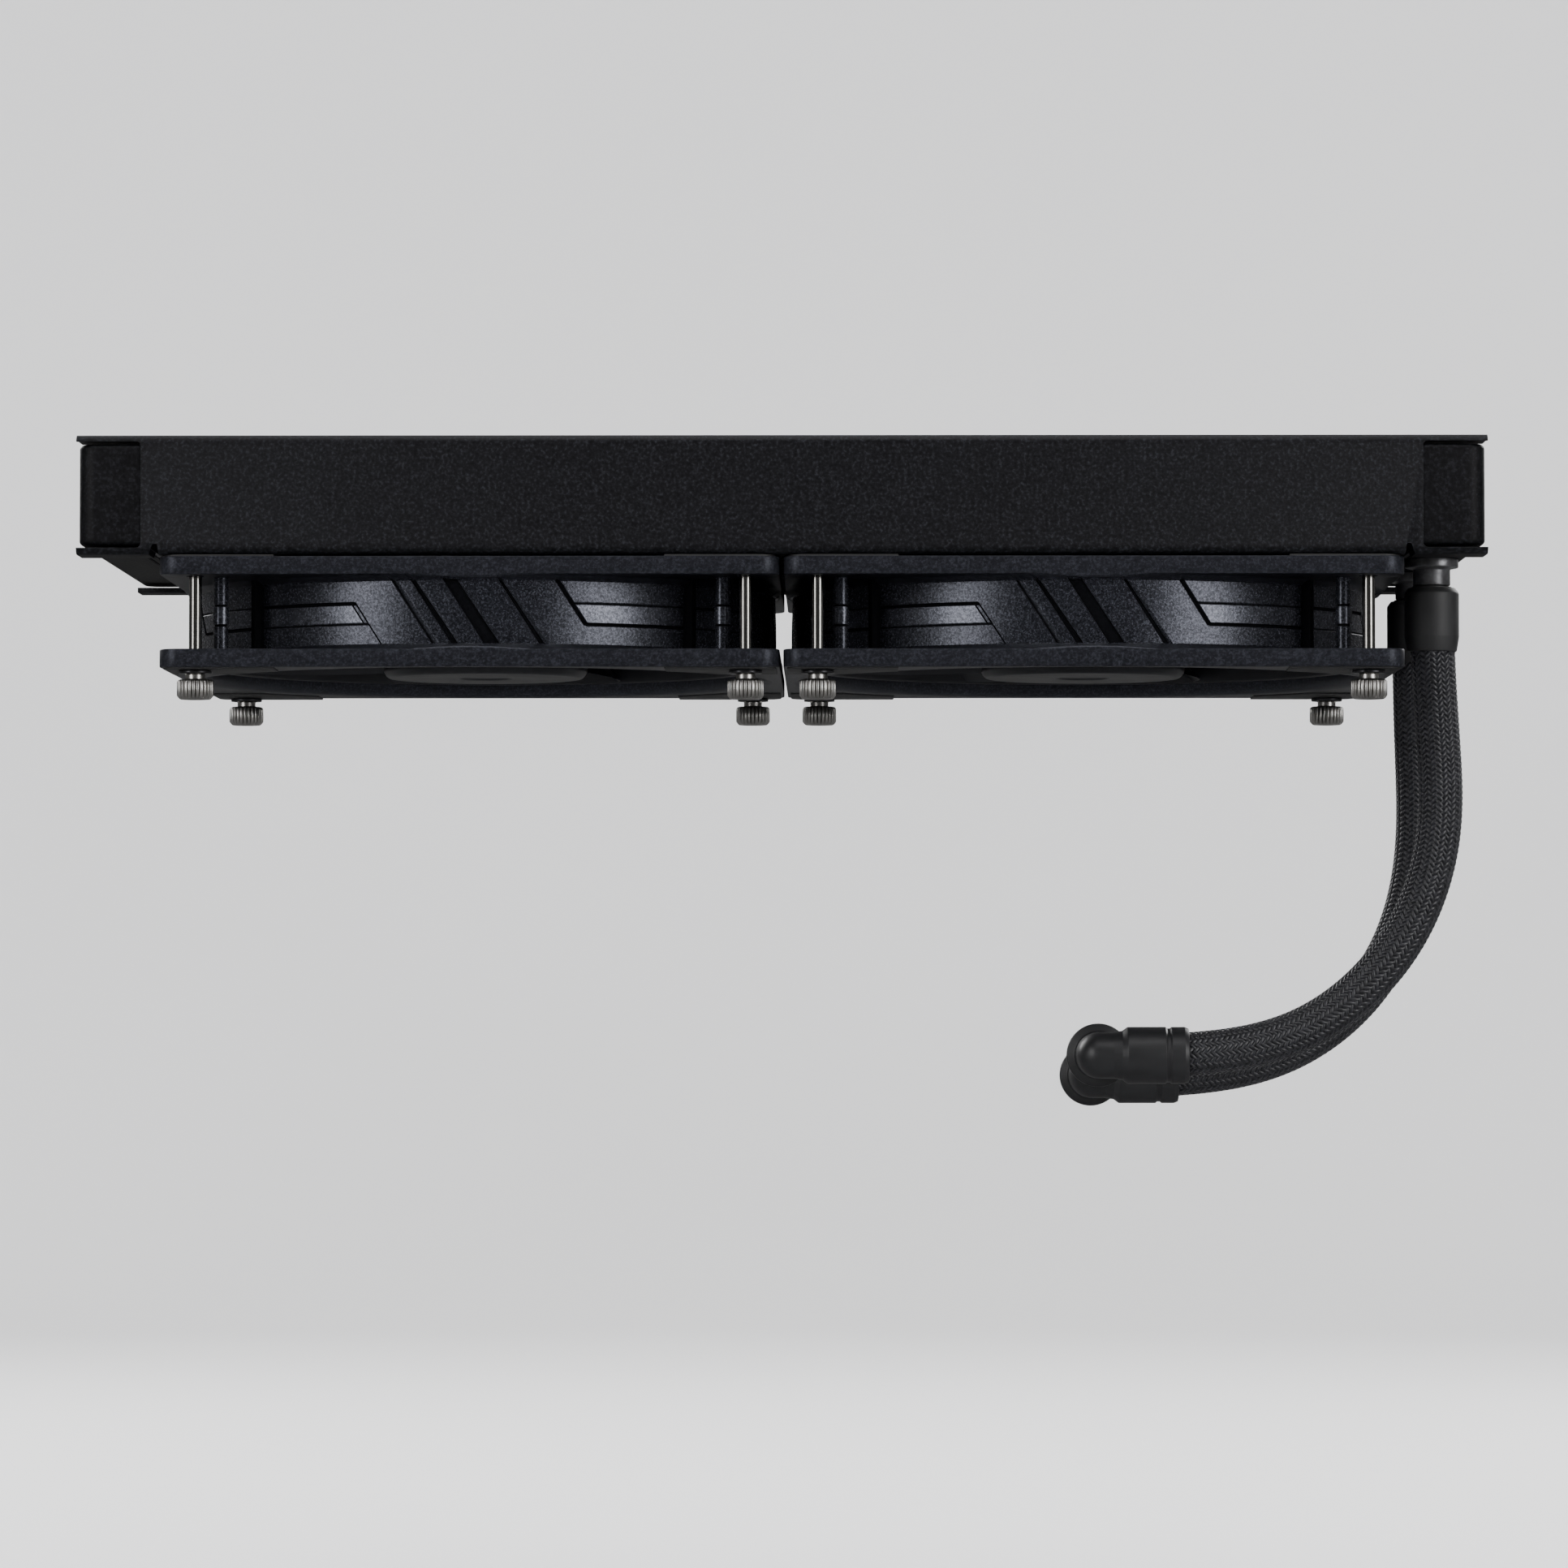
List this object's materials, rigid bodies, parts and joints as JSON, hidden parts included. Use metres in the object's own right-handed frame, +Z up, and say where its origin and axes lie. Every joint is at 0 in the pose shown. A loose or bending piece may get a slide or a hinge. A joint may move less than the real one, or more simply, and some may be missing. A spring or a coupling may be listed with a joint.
{
  "type": "liquid cooling radiator",
  "caption": "Slim aluminium liquid cooling radiator with end tanks, a finned tube core, square fans held below by knurled thumbscrews, and braided coolant hoses.",
  "frame": {"origin": "top face of the front mounting flange, halfway along the radiator", "axes": "+X along the radiator towards the hose end, +Y from the front flange to the rear flange, +Z up out of the mounting face"},
  "size_m": [0.318, 0.1406, 0.1524],
  "materials": {
    "powder_coat": "fine speckled black powder coat",
    "core_metal": "black coated brazed aluminium",
    "fan_frame_plastic": "spark-eroded dark grey plastic",
    "fan_blade_plastic": "satin black plastic",
    "steel_pin": "ground bright steel",
    "screw_nickel": "bright nickel plating",
    "washer_black": "black oxide",
    "hose_braid": "black braided polyester sleeve",
    "rubber_black": "matt black rubber",
    "fitting_black": "black moulded nylon",
    "port_metal": "dark nickel-plated brass",
    "winding": "enamelled copper wire",
    "magnet": "bonded ferrite",
    "board": "green solder mask",
    "bearing_bronze": "sintered bronze"
  },
  "bodies": {
    "radiator": {"end_tank_left": "powder_coat", "end_tank_right": "powder_coat", "fan_1_bearing": "bearing_bronze", "fan_1_cable": "rubber_black", "fan_1_circuit_board": "board", "fan_1_connector": "fitting_black", "fan_1_frame": "fan_frame_plastic", "fan_1_stator": "winding", "fan_2_bearing": "bearing_bronze", "fan_2_cable": "rubber_black", "fan_2_circuit_board": "board", "fan_2_connector": "fitting_black", "fan_2_frame": "fan_frame_plastic", "fan_2_stator": "winding", "fill_plug": "port_metal", "fin_strip_1": "core_metal", "fin_strip_10": "core_metal", "fin_strip_11": "core_metal", "fin_strip_12": "core_metal", "fin_strip_2": "core_metal", "fin_strip_3": "core_metal", "fin_strip_4": "core_metal", "fin_strip_5": "core_metal", "fin_strip_6": "core_metal", "fin_strip_7": "core_metal", "fin_strip_8": "core_metal", "fin_strip_9": "core_metal", "hose_elbow_front": "fitting_black", "hose_elbow_rear": "fitting_black", "hose_ferrule_front": "rubber_black", "hose_ferrule_rear": "rubber_black", "hose_front": "hose_braid", "hose_port_front": "port_metal", "hose_port_rear": "port_metal", "hose_rear": "hose_braid", "side_plate_front": "powder_coat", "side_plate_rear": "powder_coat", "tube_core": "core_metal"},
    "fan_1_rotor": {"fan_1_impeller": "fan_blade_plastic", "fan_1_rotor_magnet": "magnet", "fan_1_shaft": "steel_pin"},
    "fan_2_rotor": {"fan_2_impeller": "fan_blade_plastic", "fan_2_rotor_magnet": "magnet", "fan_2_shaft": "steel_pin"},
    "washer_front_1": {"washer_front_1": "washer_black"},
    "thumbscrew_front_1": {"thumbscrew_front_1": "screw_nickel"},
    "washer_front_2": {"washer_front_2": "washer_black"},
    "thumbscrew_front_2": {"thumbscrew_front_2": "screw_nickel"},
    "washer_front_3": {"washer_front_3": "washer_black"},
    "thumbscrew_front_3": {"thumbscrew_front_3": "screw_nickel"},
    "washer_front_4": {"washer_front_4": "washer_black"},
    "thumbscrew_front_4": {"thumbscrew_front_4": "screw_nickel"},
    "washer_rear_1": {"washer_rear_1": "washer_black"},
    "thumbscrew_rear_1": {"thumbscrew_rear_1": "screw_nickel"},
    "washer_rear_2": {"washer_rear_2": "washer_black"},
    "thumbscrew_rear_2": {"thumbscrew_rear_2": "screw_nickel"},
    "washer_rear_3": {"washer_rear_3": "washer_black"},
    "thumbscrew_rear_3": {"thumbscrew_rear_3": "screw_nickel"},
    "washer_rear_4": {"washer_rear_4": "washer_black"},
    "thumbscrew_rear_4": {"thumbscrew_rear_4": "screw_nickel"}
  },
  "joints": [
    {"name": "fan_1_spin", "type": "hinge", "parent": "radiator", "child": "fan_1_rotor", "pos_m": [-0.0704, 0.0634, -0.0424], "axis": [0, 0, 1], "continuous": true},
    {"name": "fan_2_spin", "type": "hinge", "parent": "radiator", "child": "fan_2_rotor", "pos_m": [0.0704, 0.0634, -0.0424], "axis": [0, 0, 1], "continuous": true},
    {"name": "thumbscrew_front_1_travel", "type": "slide", "parent": "radiator", "child": "washer_front_1", "axis": [0, 0, -1], "range_m": [0, 0.004]},
    {"name": "thumbscrew_front_1_turn", "type": "hinge", "parent": "washer_front_1", "child": "thumbscrew_front_1", "pos_m": [-0.13265, 0.00115, -0.055], "axis": [0, 0, -1], "range_deg": [0, 2881]},
    {"name": "thumbscrew_front_2_travel", "type": "slide", "parent": "radiator", "child": "washer_front_2", "axis": [0, 0, -1], "range_m": [0, 0.004]},
    {"name": "thumbscrew_front_2_turn", "type": "hinge", "parent": "washer_front_2", "child": "thumbscrew_front_2", "pos_m": [-0.00815, 0.00115, -0.055], "axis": [0, 0, -1], "range_deg": [0, 2881]},
    {"name": "thumbscrew_front_3_travel", "type": "slide", "parent": "radiator", "child": "washer_front_3", "axis": [0, 0, -1], "range_m": [0, 0.004]},
    {"name": "thumbscrew_front_3_turn", "type": "hinge", "parent": "washer_front_3", "child": "thumbscrew_front_3", "pos_m": [0.00815, 0.00115, -0.055], "axis": [0, 0, -1], "range_deg": [0, 2881]},
    {"name": "thumbscrew_front_4_travel", "type": "slide", "parent": "radiator", "child": "washer_front_4", "axis": [0, 0, -1], "range_m": [0, 0.004]},
    {"name": "thumbscrew_front_4_turn", "type": "hinge", "parent": "washer_front_4", "child": "thumbscrew_front_4", "pos_m": [0.13265, 0.00115, -0.055], "axis": [0, 0, -1], "range_deg": [0, 2881]},
    {"name": "thumbscrew_rear_1_travel", "type": "slide", "parent": "radiator", "child": "washer_rear_1", "axis": [0, 0, -1], "range_m": [0, 0.004]},
    {"name": "thumbscrew_rear_1_turn", "type": "hinge", "parent": "washer_rear_1", "child": "thumbscrew_rear_1", "pos_m": [-0.13265, 0.12565, -0.055], "axis": [0, 0, -1], "range_deg": [0, 2881]},
    {"name": "thumbscrew_rear_2_travel", "type": "slide", "parent": "radiator", "child": "washer_rear_2", "axis": [0, 0, -1], "range_m": [0, 0.004]},
    {"name": "thumbscrew_rear_2_turn", "type": "hinge", "parent": "washer_rear_2", "child": "thumbscrew_rear_2", "pos_m": [-0.00815, 0.12565, -0.055], "axis": [0, 0, -1], "range_deg": [0, 2881]},
    {"name": "thumbscrew_rear_3_travel", "type": "slide", "parent": "radiator", "child": "washer_rear_3", "axis": [0, 0, -1], "range_m": [0, 0.004]},
    {"name": "thumbscrew_rear_3_turn", "type": "hinge", "parent": "washer_rear_3", "child": "thumbscrew_rear_3", "pos_m": [0.00815, 0.12565, -0.055], "axis": [0, 0, -1], "range_deg": [0, 2881]},
    {"name": "thumbscrew_rear_4_travel", "type": "slide", "parent": "radiator", "child": "washer_rear_4", "axis": [0, 0, -1], "range_m": [0, 0.004]},
    {"name": "thumbscrew_rear_4_turn", "type": "hinge", "parent": "washer_rear_4", "child": "thumbscrew_rear_4", "pos_m": [0.13265, 0.12565, -0.055], "axis": [0, 0, -1], "range_deg": [0, 2881]}
  ],
  "couplings": [
    {"joint": "thumbscrew_front_1_turn", "follows": "thumbscrew_front_1_travel", "rad_per_m": 12566},
    {"joint": "thumbscrew_front_2_turn", "follows": "thumbscrew_front_2_travel", "rad_per_m": 12566},
    {"joint": "thumbscrew_front_3_turn", "follows": "thumbscrew_front_3_travel", "rad_per_m": 12566},
    {"joint": "thumbscrew_front_4_turn", "follows": "thumbscrew_front_4_travel", "rad_per_m": 12566},
    {"joint": "thumbscrew_rear_1_turn", "follows": "thumbscrew_rear_1_travel", "rad_per_m": 12566},
    {"joint": "thumbscrew_rear_2_turn", "follows": "thumbscrew_rear_2_travel", "rad_per_m": 12566},
    {"joint": "thumbscrew_rear_3_turn", "follows": "thumbscrew_rear_3_travel", "rad_per_m": 12566},
    {"joint": "thumbscrew_rear_4_turn", "follows": "thumbscrew_rear_4_travel", "rad_per_m": 12566}
  ]
}
